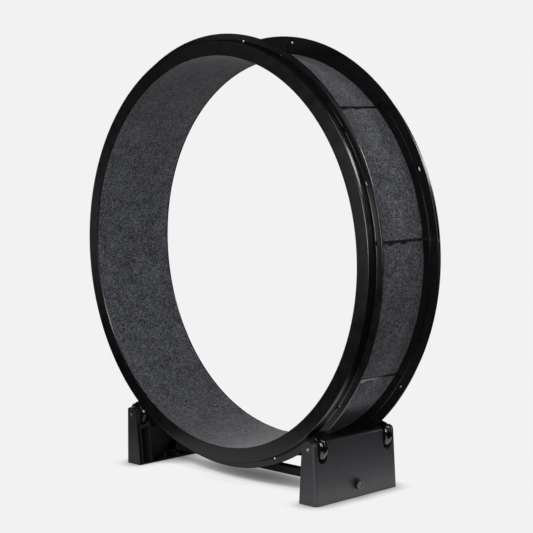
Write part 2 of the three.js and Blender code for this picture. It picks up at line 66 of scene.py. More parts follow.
# Rim: radii from the wheel's axis, and places along it from the wheel's middle
TREAD_RADIUS = 572  # track that the rollers run on
FLANGE_RADIUS = 590
INNER_RADIUS = 531  # inner lip of the rims, and the running side of the mat
LEDGE_RADIUS = 565  # ledge of the inner wall's foot
HALF_WHEEL = 135.5  # to the outer face
FACE_WALL = 3.5
TRACK_WALL = 4
FLANGE_ROOT = 108.5  # where the flange leaves the track
FLANGE_TOP = 106  # outer edge of the flange's top
FLANGE_BACK = 102  # inner side of the flange
WALL_FOOT = 99.5  # inner side of the wall that stands on the panels
WALL_INSIDE = 105.5  # its side in the hollow of the rim
RIM_SEGMENTS = 8
FRONT_JOINT = 23.2  # degrees from +X towards +Z
REAR_JOINT = 3.9

# Clip windows through the flange, each with a pocket in the track in front of it
WINDOWS_PER_SEGMENT = 3
WINDOW_OFFSET = 3.75  # degrees from a joint to the first window
WINDOW_LENGTH = 11
WINDOW_HEIGHT = 4
WINDOW_SILL = 0.1
POCKET_LENGTH = 18
POCKET_WIDTH = 10
POCKET_DEPTH = 2
POCKET_INSET = 0.3
CUTTER_SPARE = 3  # how far a cutter reaches past what it cuts

# Lining
MAT_OUTER = 534
PANEL_INNER = MAT_OUTER + FIT_GAP
PANEL_OUTER = 542.7
WALL_RADIUS = PANEL_OUTER + FIT_GAP
LINING_HALF = HALF_WHEEL - FACE_WALL - FIT_GAP
MAT_EDGE_ROUND = 0.8
PANELS = 9
PANEL_JOINT = 4.5  # degrees from +X towards +Z
STRIP_WEB = 4

# Roundings of the rim's section: a corner's radius and place, its rounding, and its steps
RIM_ROUNDS = [
    (FLANGE_RADIUS, FLANGE_TOP, 1.5, 5),
    (FLANGE_RADIUS, FLANGE_BACK, 1.0, 4),
    (TREAD_RADIUS, HALF_WHEEL, 3.4, 7),
    (INNER_RADIUS, HALF_WHEEL, 0.9, 4),
    (TREAD_RADIUS, FLANGE_ROOT, 2.2, 5),
    (LEDGE_RADIUS, FLANGE_BACK, 0.6, 2),
    (LEDGE_RADIUS, WALL_FOOT, 0.7, 3),
]

# Rollers
ROLLER_RADIUS = 36
ROLLER_WIDTH = 24
SHOULDER_RADIUS = 25.5  # where the tyre's flat side faces end
TYRE_CHAMFER = 0.8
HUB_RADIUS = 23
HUB_WIDTH = 20
BEARING_RADIUS = 11
BEARING_WIDTH = 7
BEARING_SPACING = 5  # between the two bearings of a roller
SEAL_OUTER = 9.2
SEAL_INNER = 6.2
SEAL_DEPTH = 0.5
SPACER_RADIUS = 6.5  # sleeve between the two bearings
AXLE_RADIUS = 4
AXLE_CHAMFER = 0.6
POINT_MARK_RADIUS = 0.9
POINT_MARK_DEPTH = 0.5

# Widths of the eased edges
RIM_EASE = 0.25
PANEL_EASE = 0.6
STRIP_EASE = 0.4
HUB_EASE = 0.6
BEARING_EASE = 0.2
HOUSING_EASE = 1.5
KNOB_EASE = 0.4
TUBE_EASE = 0.4
FOOT_EASE = 0.5


# ---------------------------------------------------------------- modelling

def select_only(piece):
    """Leaves this piece as the one that is selected and active."""
    bpy.ops.object.select_all(action="DESELECT")
    piece.select_set(True)
    bpy.context.view_layer.objects.active = piece


def outline(name, points):
    """A flat face whose edge runs through the points, drawn by extruding one corner along them."""
    bpy.ops.object.select_all(action="DESELECT")
    bpy.ops.mesh.primitive_plane_add(size=MM)
    piece = bpy.context.object
    piece.name = name
    piece.data.name = name
    bpy.ops.object.mode_set(mode="EDIT")
    bpy.ops.mesh.select_all(action="SELECT")
    bpy.ops.mesh.merge(type="CENTER")
    corners = [Vector(point) * MM for point in points]
    bpy.ops.transform.translate(value=corners[0])
    for start, end in zip(corners, corners[1:]):
        bpy.ops.mesh.extrude_vertices_move(TRANSFORM_OT_translate={"value": end - start})
    bpy.ops.mesh.select_all(action="SELECT")
    bpy.ops.mesh.edge_face_add()
    bpy.ops.object.mode_set(mode="OBJECT")
    return piece


def select_corners(piece, wanted):
    """Enters edit mode with the corners selected whose places the test accepts."""
    select_only(piece)
    bpy.ops.object.mode_set(mode="EDIT")
    bpy.ops.mesh.select_mode(type="VERT")
    bpy.ops.mesh.select_all(action="DESELECT")
    bpy.ops.object.mode_set(mode="OBJECT")
    for vertex in piece.data.vertices:
        vertex.select = wanted(vertex.co / MM)
    bpy.ops.object.mode_set(mode="EDIT")


def round_corners(piece, radius, wanted, steps=3):
    """Rounds the chosen corners of a flat outline."""
    select_corners(piece, wanted)
    bpy.ops.mesh.bevel(offset=radius * MM, segments=steps, affect="VERTICES", clamp_overlap=True)
    bpy.ops.object.mode_set(mode="OBJECT")


def spin_about(piece, centre, degrees, steps):
    """Spins a flat outline about the Y direction through a point, into a closed body.

    A part turn runs from +X towards +Z and keeps the outline's face as its first end. A full
    turn has no ends, so it starts from the outline's edge alone."""
    select_only(piece)
    bpy.ops.object.mode_set(mode="EDIT")
    bpy.ops.mesh.select_all(action="SELECT")
    if degrees == 360:
        bpy.ops.mesh.delete(type="ONLY_FACE")
        bpy.ops.mesh.select_all(action="SELECT")
    bpy.ops.mesh.spin(steps=steps, angle=math.radians(degrees), center=centre, axis=(0, 1, 0))
    bpy.ops.mesh.select_all(action="SELECT")
    bpy.ops.mesh.remove_doubles(threshold=0.002 * MM)
    bpy.ops.mesh.delete_loose()
    bpy.ops.mesh.select_all(action="SELECT")
    bpy.ops.mesh.normals_make_consistent(inside=False)
    bpy.ops.object.mode_set(mode="OBJECT")


def turn_about(piece, centre, degrees, axis=(0, -1, 0)):
    """Turns a piece about an axis through a point, in its mesh: from +X towards +Z, unless
    another axis is given."""
    place = Matrix.Translation(centre)
    turn = Matrix.Rotation(math.radians(degrees), 4, Vector(axis))
    piece.data.transform(place @ turn @ place.inverted())


def copy_of(piece, name):
    """Another piece with its own mesh of the same shape."""
    select_only(piece)
    bpy.ops.object.duplicate(linked=False)
    other = bpy.context.object
    other.name = name
    other.data.name = name
    return other


def carve(piece, cutters):
    """Cuts the cutters out of a piece and removes them."""
    select_only(piece)
    for cutter in cutters:
        cut = piece.modifiers.new("cut", "BOOLEAN")
        cut.object = cutter
        cut.operation = "DIFFERENCE"
        cut.solver = "EXACT"
        bpy.ops.object.modifier_apply(modifier=cut.name)
        bpy.data.objects.remove(cutter)


def ease_edges(piece, width, sharp, steps=2):
    """Rounds every edge that is sharper than an angle in degrees."""
    select_only(piece)
    ease = piece.modifiers.new("ease", "BEVEL")
    ease.width = width * MM
    ease.segments = steps
    ease.limit_method = "ANGLE"
    ease.angle_limit = math.radians(sharp)
    ease.use_clamp_overlap = True
    ease.miter_outer = "MITER_ARC"
    bpy.ops.object.modifier_apply(modifier=ease.name)


def smooth(piece, sharp):
    """Smooth shading that keeps the edges sharper than an angle, and flat faces flat."""
    select_only(piece)
    bpy.ops.object.shade_smooth_by_angle(angle=math.radians(sharp), keep_sharp_edges=False)
    flatten = piece.modifiers.new("flatten", "WEIGHTED_NORMAL")
    flatten.keep_sharp = True
    flatten.weight = 80
    bpy.ops.object.modifier_apply(modifier=flatten.name)


def block(name, low, high):
    """A block between two corners, as a cutter."""
    low = Vector(low) * MM
    high = Vector(high) * MM
    bpy.ops.object.select_all(action="DESELECT")
    bpy.ops.mesh.primitive_cube_add(size=1, location=(low + high) / 2, scale=high - low)
    piece = bpy.context.object
    piece.name = name
    piece.data.name = name
    bpy.ops.object.transform_apply(location=True, rotation=True, scale=True)
    return piece


def eased_copy(node, name, width, steps=2):
    """A copy of a CAD node with its flat faces whole again and its edges rounded."""
    piece = copy_of(frame["nodes"][node], name)
    for tag in [key for key in piece.keys() if key.startswith("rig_")]:
        del piece[tag]
    piece.parent = None
    piece.matrix_world = Matrix.Identity(4)
    select_only(piece)
    bpy.ops.object.mode_set(mode="EDIT")
    bpy.ops.mesh.select_all(action="SELECT")
    bpy.ops.mesh.remove_doubles(threshold=0.005 * MM)
    bpy.ops.mesh.dissolve_limited(angle_limit=math.radians(0.6))
    bpy.ops.object.mode_set(mode="OBJECT")
    ease_edges(piece, width, sharp=35, steps=steps)
    smooth(piece, sharp=38)
    return piece


def fit(piece, body, slot, material, *nodes):
    """Puts a finished piece in the part: its material, the body it moves with and its nodes."""
    piece.data.materials.clear()
    piece.data.materials.append(material)
    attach(piece, body)
    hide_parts(*nodes)


# ---------------------------------------------------------------- materials

def colour(code):
    """An sRGB hex value as linear red, green, blue and alpha."""
    parts = [int(code[i:i + 2], 16) / 255 for i in (1, 3, 5)]
    linear = [c / 12.92 if c <= 0.04045 else ((c + 0.055) / 1.055) ** 2.4 for c in parts]
    return (*linear, 1.0)


def set_stops(ramp, stops):
    """Gives a ramp its (position, hex colour) stops."""
    while len(ramp.elements) < len(stops):
        ramp.elements.new(0.5)
    for element, (position, code) in zip(ramp.elements, stops):
        element.position = position
        element.color = colour(code)


def add(tree, kind, settings=None, links=None):
    """Adds a shader node. Settings are its own values, its sockets' values or the stops of its
    ramp. Links join its sockets to other sockets, or to the first output of other nodes."""
    node = tree.nodes.new(f"ShaderNode{kind}")
    for key, value in (settings or {}).items():
        if key == "stops":
            set_stops(node.color_ramp, value)
        elif isinstance(key, str) and hasattr(node, key):
            setattr(node, key, value)
        else:
            node.inputs[key].default_value = value
    for key, source in (links or {}).items():
        socket = source.outputs[0] if isinstance(source, bpy.types.Node) else source
        tree.links.new(socket, node.inputs[key])
    return node


def new_material(name):
    """An empty material, its nodes, and the places on a piece that its patterns follow."""
    material = bpy.data.materials.new(name)
    material.use_nodes = True
    tree = material.node_tree
    tree.nodes.clear()
    return material, tree, add(tree, "TexCoord").outputs["Object"]


def per_metre(size_mm):
    """Noise scale that gives features of about this size."""
    return 1 / (size_mm * MM)


def around(middle, spread):
    """Range settings that turn a noise into values on both sides of a middle one."""
    return {"From Min": 0.3, "From Max": 0.7, "To Min": middle - spread, "To Max": middle + spread}


def gloss_moulded_abs():
    """Black ABS, injection moulded in a polished tool: deep and glossy, with a slight waviness
    from the flow of the melt and a gloss that clouds a little where it was handled."""
    material, tree, place = new_material("moulded black ABS")
    flow = add(tree, "TexNoise", {"Scale": per_metre(90), "Detail": 1.0}, {"Vector": place})
    haze = add(tree, "TexNoise", {"Scale": per_metre(35), "Detail": 4.0}, {"Vector": place})
    tone = add(tree, "ValToRGB", {"stops": [(0.3, "#0c0c0d"), (0.7, "#101112")]}, {"Fac": haze})
    rough = add(tree, "MapRange", around(0.235, 0.035), {"Value": haze})
    bump = add(tree, "Bump", {"Strength": 0.2, "Distance": 0.3 * MM}, {"Height": flow})
    shader = add(tree, "BsdfPrincipled", {"IOR": 1.5},
                 {"Base Color": tone, "Roughness": rough, "Normal": bump})
    add(tree, "OutputMaterial", links={"Surface": shader})
    return material


def satin_moulded_polypropylene():
    """Black polypropylene, moulded in a spark-eroded tool: an even grain that spreads the light
    into a soft satin, a little greyer than the rims. The real grain, about 0.1 mm, is too fine
    to show, so it is drawn coarser."""
    material, tree, place = new_material("spark grained black polypropylene")
    grain = add(tree, "TexNoise", {"Scale": per_metre(0.9), "Detail": 3.0}, {"Vector": place})
    cloud = add(tree, "TexNoise", {"Scale": per_metre(45), "Detail": 3.0}, {"Vector": place})
    tone = add(tree, "ValToRGB", {"stops": [(0.3, "#1b1c1e"), (0.7, "#212225")]}, {"Fac": cloud})
    bump = add(tree, "Bump", {"Strength": 0.25, "Distance": 0.05 * MM}, {"Height": grain})
    shader = add(tree, "BsdfPrincipled", {"IOR": 1.49, "Roughness": 0.48},
                 {"Base Color": tone, "Normal": bump})
    add(tree, "OutputMaterial", links={"Surface": shader})
    return material


def needle_felt():
    """Needle-punched polyester felt: grey and black fibres pressed flat in all directions. They
    curl into a worm-like mottle, with a soft sheen at the edges of the view. One fibre, about
    0.03 mm, is too fine to show, so the mottle is drawn coarser, from tufts of them."""
    material, tree, place = new_material("needle punched grey felt")
    curl = add(tree, "TexNoise", {"Scale": per_metre(6.5), "Detail": 2.0, "Roughness": 0.55,
                                  "Distortion": 2.2}, {"Vector": place})
    tuft = add(tree, "TexNoise", {"Scale": per_metre(1.6), "Detail": 3.0, "Roughness": 0.7,
                                  "Distortion": 0.8}, {"Vector": place})
    patch = add(tree, "TexNoise", {"Scale": per_metre(45), "Detail": 2.0}, {"Vector": place})
    pile = add(tree, "Math", {"operation": "MULTIPLY_ADD", 1: 0.6}, {0: tuft, 2: curl})
    mottle = add(tree, "Math", {"operation": "MULTIPLY_ADD", 1: 0.15}, {0: patch, 2: pile})
    stops = [(0.72, "#0f0f11"), (0.87, "#37383d"), (1.0, "#72747c")]
    tone = add(tree, "ValToRGB", {"stops": stops}, {"Fac": mottle})
    bump = add(tree, "Bump", {"Strength": 0.8, "Distance": 0.8 * MM}, {"Height": pile})
    surface = {"Roughness": 0.95, "Specular IOR Level": 0.2, "Sheen Weight": 0.2,
               "Sheen Roughness": 0.5, "IOR": 1.5}
    shader = add(tree, "BsdfPrincipled", surface, {"Base Color": tone, "Normal": bump})
    add(tree, "OutputMaterial", links={"Surface": shader})
    return material


def plain_polymer(name, dark, light, roughness, spread, ior, grain_mm, depth_mm):
    """A moulded or cast polymer with a slight variation of tone and gloss and a fine surface."""
    material, tree, place = new_material(name)
    cloud = add(tree, "TexNoise", {"Scale": per_metre(9), "Detail": 4.0}, {"Vector": place})
    grain = add(tree, "TexNoise", {"Scale": per_metre(grain_mm), "Detail": 3.0}, {"Vector": place})
    tone = add(tree, "ValToRGB", {"stops": [(0.3, dark), (0.7, light)]}, {"Fac": cloud})
    rough = add(tree, "MapRange", around(roughness, spread), {"Value": cloud})
    bump = add(tree, "Bump", {"Strength": 0.3, "Distance": depth_mm * MM}, {"Height": grain})
    shader = add(tree, "BsdfPrincipled", {"IOR": ior},
                 {"Base Color": tone, "Roughness": rough, "Normal": bump})
    add(tree, "OutputMaterial", links={"Surface": shader})
    return material


def machined_steel(name, dark, light, roughness):
    """Bright steel, ground or turned: a clean metal shine whose gloss and tone vary a little
    from place to place, as a machined face does under a film of oil."""
    material, tree, place = new_material(name)
    film = add(tree, "TexNoise", {"Scale": per_metre(2.5), "Detail": 4.0}, {"Vector": place})
    rough = add(tree, "MapRange", around(roughness, 0.06), {"Value": film})
    tone = add(tree, "ValToRGB", {"stops": [(0.25, dark), (0.75, light)]}, {"Fac": film})
    shader = add(tree, "BsdfPrincipled", {"Metallic": 1.0}, {"Base Color": tone, "Roughness": rough})
    add(tree, "OutputMaterial", links={"Surface": shader})
    return material


def powder_coat():
    """Black powder coat on steel tube: a fine orange peel under a half-gloss skin."""
    material, tree, place = new_material("black powder coat")
    peel = add(tree, "TexNoise", {"Scale": per_metre(1.6), "Detail": 1.0}, {"Vector": place})
    cloud = add(tree, "TexNoise", {"Scale": per_metre(30), "Detail": 3.0}, {"Vector": place})
    tone = add(tree, "ValToRGB", {"stops": [(0.3, "#141516"), (0.7, "#191a1b")]}, {"Fac": cloud})
    bump = add(tree, "Bump", {"Strength": 0.3, "Distance": 0.08 * MM}, {"Height": peel})
    shader = add(tree, "BsdfPrincipled", {"IOR": 1.5, "Roughness": 0.4},
                 {"Base Color": tone, "Normal": bump})
    add(tree, "OutputMaterial", links={"Surface": shader})
    return material


ABS = gloss_moulded_abs()
POLYPROPYLENE = satin_moulded_polypropylene()
FELT = needle_felt()
COAT = powder_coat()

# Moulded in a smooth tool: almost black, with a half gloss.
NYLON = plain_polymer("moulded black nylon", dark="#060607", light="#0a0a0b",
                      roughness=0.3, spread=0.05, ior=1.53, grain_mm=1.2, depth_mm=0.05)
# Cast in a polished mould: wet-looking black, with small sharp highlights.
URETHANE = plain_polymer("cast black polyurethane", dark="#070708", light="#0c0c0d",
                         roughness=0.12, spread=0.04, ior=1.5, grain_mm=5, depth_mm=0.05)
# Moulded in a fine-grained tool: duller and greyer than the tyre round it.
HUB_NYLON = plain_polymer("moulded hub nylon", dark="#131415", light="#1a1b1c",
                          roughness=0.4, spread=0.05, ior=1.53, grain_mm=1.5, depth_mm=0.05)
# Moulded in a polished tool: black, with clear highlights on its lobes.
KNOB_NYLON = plain_polymer("moulded knob nylon", dark="#08080a", light="#0e0f10",
                           roughness=0.22, spread=0.04, ior=1.53, grain_mm=3.0, depth_mm=0.04)
# Moulded in a blasted tool: a dull, dusty black.
RUBBER = plain_polymer("moulded black rubber", dark="#101011", light="#181819",
                       roughness=0.75, spread=0.08, ior=1.52, grain_mm=1.0, depth_mm=0.08)

BEARING_STEEL = machined_steel("ground bearing steel", "#9c9ea1", "#b4b6b9", 0.3)
PIN_STEEL = machined_steel("turned steel pin", "#b9bbbd", "#d0d2d4", 0.28)


# ---------------------------------------------------------------- wheel

def outline_of_section(name, section):
    """The outline of a section of the wheel, drawn straight to the right of its axis."""
    return outline(name, [(radius, y, AXIS_MM) for radius, y in section])


def near(place, radius, y, reach=0.3):
    """Whether a corner of a section lies at a radius and a place along the axis."""
    return abs(place.x - radius) < reach and abs(place.y - y) < reach


def block_on_rim(name, radii, places, length):
    """A cutter between two radii and two places along the axis, of a length along the rim."""
    half = length / 2
    low = (radii[0], places[0], AXIS_MM - half)
    high = (radii[1], places[1], AXIS_MM + half)
    return block(name, low, high)


def clip_window(angle):
    """Cutters for a window through the flange and for the pocket in the track before it."""
    window = block_on_rim("window", (TREAD_RADIUS + WINDOW_SILL, TREAD_RADIUS + WINDOW_HEIGHT),
                          (FLANGE_BACK - CUTTER_SPARE, FLANGE_ROOT + CUTTER_SPARE), WINDOW_LENGTH)
    pocket = block_on_rim("pocket", (TREAD_RADIUS - POCKET_DEPTH, TREAD_RADIUS + CUTTER_SPARE),
                          (FLANGE_ROOT + POCKET_INSET, FLANGE_ROOT + POCKET_WIDTH), POCKET_LENGTH)
    turn_about(window, WHEEL_CENTRE, angle)
    turn_about(pocket, WHEEL_CENTRE, angle)
    return [window, pocket]


def rim_section():
    """The outline of the rear rim, round from the inner edge of its face."""
    under_track = TREAD_RADIUS - TRACK_WALL
    face_inside = HALF_WHEEL - FACE_WALL
    piece = outline_of_section("rim segment", [
        (INNER_RADIUS, face_inside), (INNER_RADIUS, HALF_WHEEL), (TREAD_RADIUS, HALF_WHEEL),
        (TREAD_RADIUS, FLANGE_ROOT), (FLANGE_RADIUS, FLANGE_TOP), (FLANGE_RADIUS, FLANGE_BACK),
        (LEDGE_RADIUS, FLANGE_BACK), (LEDGE_RADIUS, WALL_FOOT), (WALL_RADIUS, WALL_FOOT),
        (WALL_RADIUS, WALL_INSIDE), (under_track, WALL_INSIDE), (under_track, face_inside),
    ])
    for radius, y, rounding, steps in RIM_ROUNDS:
        round_corners(piece, rounding, lambda p: near(p, radius, y), steps)
    return piece


def rim_segment():
    """One segment of the rear rim, from its joint at angle zero."""
    sweep = 360 / RIM_SEGMENTS
    gap = math.degrees(FIT_GAP / TREAD_RADIUS)
    piece = rim_section()
    spin_about(piece, WHEEL_CENTRE, sweep - gap, steps=36)
    turn_about(piece, WHEEL_CENTRE, gap / 2)
    cutters = []
    for i in range(WINDOWS_PER_SEGMENT):
        cutters += clip_window(WINDOW_OFFSET + i * sweep / WINDOWS_PER_SEGMENT)
    carve(piece, cutters)
    ease_edges(piece, RIM_EASE, sharp=50)
    smooth(piece, sharp=42)
    return piece


def rims():
    """Both rims: the front one is the rear one turned end for end."""
    first = rim_segment()
    for i in range(RIM_SEGMENTS):
        turn = i * 360 / RIM_SEGMENTS
        for end, joint in (("rear", REAR_JOINT), ("front", FRONT_JOINT)):
            piece = copy_of(first, f"{end}_rim_{i + 1}")
            if end == "front":
                turn_about(piece, WHEEL_CENTRE, 180, axis=(1, 0, 0))
            turn_about(piece, WHEEL_CENTRE, joint + turn)
            fit(piece, "wheel", "rim_plastic", ABS, f"rim_{end}_segment_{i + 1}")
    bpy.data.objects.remove(first)


def running_mat():
    """The felt that the cat runs on, one strip laid round on the panels."""
    piece = outline_of_section("felt_running_mat", [
        (INNER_RADIUS, -LINING_HALF), (INNER_RADIUS, LINING_HALF),
        (MAT_OUTER, LINING_HALF), (MAT_OUTER, -LINING_HALF),
    ])
    round_corners(piece, MAT_EDGE_ROUND, lambda p: near(p, INNER_RADIUS, p.y))
    spin_about(piece, WHEEL_CENTRE, 360, steps=288)
    smooth(piece, sharp=50)
    fit(piece, "wheel", "felt", FELT, "running_mat")


def track_panels():
    """Curved panels under the mat, felt on the outside too, with room for a strip at each joint."""
    first = outline_of_section("track panel", [
        (PANEL_INNER, -LINING_HALF), (PANEL_INNER, LINING_HALF),
        (PANEL_OUTER, LINING_HALF), (PANEL_OUTER, -LINING_HALF),
    ])
    sweep = 360 / PANELS
    gap = math.degrees((STRIP_WEB + 2 * FIT_GAP) / PANEL_INNER)
    spin_about(first, WHEEL_CENTRE, sweep - gap, steps=32)
    turn_about(first, WHEEL_CENTRE, gap / 2)
    ease_edges(first, PANEL_EASE, sharp=50)
    smooth(first, sharp=50)
    for i in range(PANELS):
        piece = copy_of(first, f"felt_panel_{i + 1}")
        turn_about(piece, WHEEL_CENTRE, PANEL_JOINT + i * sweep)
        fit(piece, "wheel", "felt", FELT, f"track_panel_{i + 1}")
    bpy.data.objects.remove(first)


def joint_strips():
    """The strips that close the joints between the panels."""
    for i in range(PANELS):
        node = f"panel_joint_strip_{i + 1}"
        piece = eased_copy(node, f"joint_strip_{i + 1}", STRIP_EASE)
        fit(piece, "wheel", "strip_plastic", NYLON, node)


# ---------------------------------------------------------------- rollers

def lathe_about_axle(name, section, steps=96):
    """A body of revolution about a roller's axle, drawn at the origin."""
    piece = outline(name, [(radius, y, 0) for radius, y in section])
    spin_about(piece, (0, 0, 0), 360, steps)
    return piece


def tyre():
    """A round-nosed tyre: an ellipse from one side face over the tread to the other."""
    bore = HUB_RADIUS + FIT_GAP
    half = ROLLER_WIDTH / 2
    section = [(bore, half - TYRE_CHAMFER), (bore, TYRE_CHAMFER - half),
               (bore + TYRE_CHAMFER, -half)]
    steps = 24
    for i in range(steps + 1):
        t = (i / steps - 0.5) * math.pi
        crown = SHOULDER_RADIUS + (ROLLER_RADIUS - SHOULDER_RADIUS) * math.cos(t)
        section.append((crown, half * math.sin(t)))
    section.append((bore + TYRE_CHAMFER, half))
    piece = lathe_about_axle("tyre", section)
    smooth(piece, sharp=50)
    return piece


def hub():
    """A hub with a seat for a bearing at each end and a stop between them."""
    bore = BEARING_RADIUS + FIT_GAP
    half = HUB_WIDTH / 2
    stop = BEARING_SPACING / 2 - FIT_GAP
    shoulder = SPACER_RADIUS + FIT_GAP
    section = [(bore, half), (HUB_RADIUS, half), (HUB_RADIUS, -half), (bore, -half),
               (bore, -stop), (shoulder, -stop), (shoulder, stop), (bore, stop)]
    piece = lathe_about_axle("hub", section)
    ease_edges(piece, HUB_EASE, sharp=50)
    smooth(piece, sharp=42)
    return piece


def bearings():
    """Two bearings on one spacer sleeve, with a seal sunk in each outer end."""
    bore = AXLE_RADIUS + FIT_GAP
    inner = BEARING_SPACING / 2
    outer = inner + BEARING_WIDTH
    seal = outer - SEAL_DEPTH
    section = [(bore, -outer), (SEAL_INNER, -outer), (SEAL_INNER, -seal), (SEAL_OUTER, -seal),
               (SEAL_OUTER, -outer), (BEARING_RADIUS, -outer), (BEARING_RADIUS, -inner),
               (SPACER_RADIUS, -inner), (SPACER_RADIUS, inner), (BEARING_RADIUS, inner),
               (BEARING_RADIUS, outer), (SEAL_OUTER, outer), (SEAL_OUTER, seal),
               (SEAL_INNER, seal), (SEAL_INNER, outer), (bore, outer)]
    piece = lathe_about_axle("bearings", section, steps=64)
    ease_edges(piece, BEARING_EASE, sharp=50)
    smooth(piece, sharp=42)
    return piece


def rollers():
    """Four rollers, each a tyre, a hub and its bearings, round the axes of the roller joints."""
    shapes = {
        "tyre": (tyre(), "tyre_rubber", URETHANE),
        "hub": (hub(), "hub_plastic", HUB_NYLON),
        "bearings": (bearings(), "bearing_steel", BEARING_STEEL),
    }
    for place in PLACES:
        centre = Vector(JOINTS[f"roller_spin_{place}"]["pos_m"])
        for part, (shape, slot, material) in shapes.items():
            piece = copy_of(shape, f"wheel_{part}_{place}")
            piece.data.transform(Matrix.Translation(centre))
            fit(piece, f"roller_{place}", slot, material, f"roller_{part}_{place}")
    for shape, _, _ in shapes.values():
        bpy.data.objects.remove(shape)


def axle_pin(place):
    """A pin with a turned point mark in the bright end that shows in a stand's end face."""
    node = f"roller_axle_{place}"
    low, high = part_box(node)
    centre = Vector(JOINTS[f"roller_spin_{place}"]["pos_m"])
    out = -1 if place.endswith("front") else 1
    tip = (low.y if out < 0 else high.y) / MM
    root = (high.y if out < 0 else low.y) / MM
    section = [(0, tip - out * POINT_MARK_DEPTH), (POINT_MARK_RADIUS, tip),
               (AXLE_RADIUS - AXLE_CHAMFER, tip), (AXLE_RADIUS, tip - out * AXLE_CHAMFER),
               (AXLE_RADIUS, root), (0, root)]
    points = [(centre.x / MM + radius, y, centre.z / MM) for radius, y in section]
    piece = outline(f"axle_pin_{place}", points)
    spin_about(piece, (centre.x, 0, centre.z), 360, steps=48)
    smooth(piece, sharp=35)
    fit(piece, "stand", "axle_steel", PIN_STEEL, node)


# ---------------------------------------------------------------- stands

def from_node(node, name, width, slot, material, steps=2):
    """A piece of the stand whose shape is its node's, with eased edges."""
    piece = eased_copy(node, name, width, steps)
    fit(piece, "stand", slot, material, node)


def stands():
    """The two housings, each with its hand screw, the tube that ties them, and their feet."""
    for side in ("left", "right"):
        from_node(f"stand_housing_{side}", f"housing_{side}", HOUSING_EASE, "stand_plastic",
                  POLYPROPYLENE, steps=4)
        from_node(f"crossbar_hand_screw_{side}", f"hand_screw_{side}", KNOB_EASE,
                  "knob_plastic", KNOB_NYLON)
    from_node("crossbar", "cross_tube", TUBE_EASE, "bar_steel", COAT)
    for place in PLACES:
        from_node(f"rubber_foot_{place}", f"foot_{place}", FOOT_EASE, "foot_rubber", RUBBER)


# ---------------------------------------------------------------- room, in metres

PAPER = "#f2f2f2"
DARK_ROOM = "#24262a"
BEHIND = Vector((-0.732, 0.681, 0))  # away from the camera, along the floor

FLOOR_SIZE = 30
SHADOW_REACH = 0.05  # of the contact shadow beside the stands
SHADOW_REACH_UNDER = 0.15  # of the contact shadow under the wheel
SHADOW_DEPTH = 1.3
# the painted pool of light that the floor glows with, for all rays but the camera's
POOL_RADIUS = 0.7
POOL_SOFTNESS = 0.1


def soft(start, end, low=0.0, high=1.0):
    """Range settings for a smooth step from a low level at the start to a high one at the end."""
    return {"interpolation_type": "SMOOTHSTEP", "From Min": start, "From Max": end,
            "To Min": low, "To Max": high}


def seen_directly(tree):
    """One for what the camera sees, plainly or through clear pieces, and zero for the rest."""
    rays = add(tree, "LightPath")
    return add(tree, "Math", {"operation": "MAXIMUM"},
               {0: rays.outputs["Is Camera Ray"], 1: rays.outputs["Is Transmission Ray"]})


def mirrored_from_behind(tree, place, start, end):
    """One where a shiny piece mirrors what lies behind the object, and zero elsewhere. It rises
    from the start to the end, which are distances along the floor, or cosines for a direction."""
    along = add(tree, "VectorMath", {"operation": "DOT_PRODUCT", 1: BEHIND}, {0: place})
    beyond = add(tree, "MapRange", soft(start, end), {"Value": along.outputs["Value"]})
    glossy = add(tree, "LightPath").outputs["Is Glossy Ray"]
    return add(tree, "Math", {"operation": "MULTIPLY"}, {0: beyond, 1: glossy})


def contact_shadow(tree, place):
    """The light left on the floor: less close to the stands, and less over a broader patch
    under the wheel."""
    sides = add(tree, "SeparateXYZ", links={0: place})
    across = add(tree, "Math", {"operation": "ABSOLUTE"}, {0: sides.outputs["X"]})
    along = add(tree, "Math", {"operation": "ABSOLUTE"}, {0: sides.outputs["Y"]})
    between_stands = add(tree, "MapRange", soft(0.4, 0.36), {"Value": across})
    between_rims = add(tree, "MapRange", soft(0.12, 0.0), {"Value": along})
    under = add(tree, "Math", {"operation": "MULTIPLY"}, {0: between_rims, 1: between_stands})
    reach = add(tree, "Math", {"operation": "MULTIPLY_ADD", 1: SHADOW_REACH_UNDER - SHADOW_REACH,
                               2: SHADOW_REACH}, {0: under})
    light = add(tree, "AmbientOcclusion", {"samples": 24}, {"Distance": reach})
    return add(tree, "Math", {"operation": "POWER", 1: SHADOW_DEPTH}, {0: light.outputs["AO"]})


def painted_light_pool(tree, place):
    """A painted pool of light: how brightly the floor glows for all rays but the camera's, lighting
    the object and showing in shiny pieces. It is brightest in front of the wheel, more so towards
    the right, and beside the right stand, within a pool round the object."""
    sides = add(tree, "SeparateXYZ", links={0: place})
    x = sides.outputs["X"]
    y = sides.outputs["Y"]
    before = add(tree, "MapRange", soft(-0.1, -0.2), {"Value": y})
    rightward = add(tree, "MapRange", soft(0.15, 0.35, low=0.6, high=1.4), {"Value": x})
    front = add(tree, "Math", {"operation": "MULTIPLY"}, {0: before, 1: rightward})
    past_stand = add(tree, "MapRange", soft(0.37, 0.42), {"Value": x})
    fading = add(tree, "MapRange", soft(0.64, 0.5, high=2.0), {"Value": x})
    beside = add(tree, "Math", {"operation": "MULTIPLY"}, {0: past_stand, 1: fading})
    bright = add(tree, "Math", {"operation": "MAXIMUM"}, {0: front, 1: beside})
    reach = add(tree, "VectorMath", {"operation": "LENGTH"}, {0: place})
    within = add(tree, "MapRange", soft(POOL_RADIUS + POOL_SOFTNESS, POOL_RADIUS - POOL_SOFTNESS),
                 {"Value": reach.outputs["Value"]})
    return add(tree, "Math", {"operation": "MULTIPLY"}, {0: within, 1: bright})


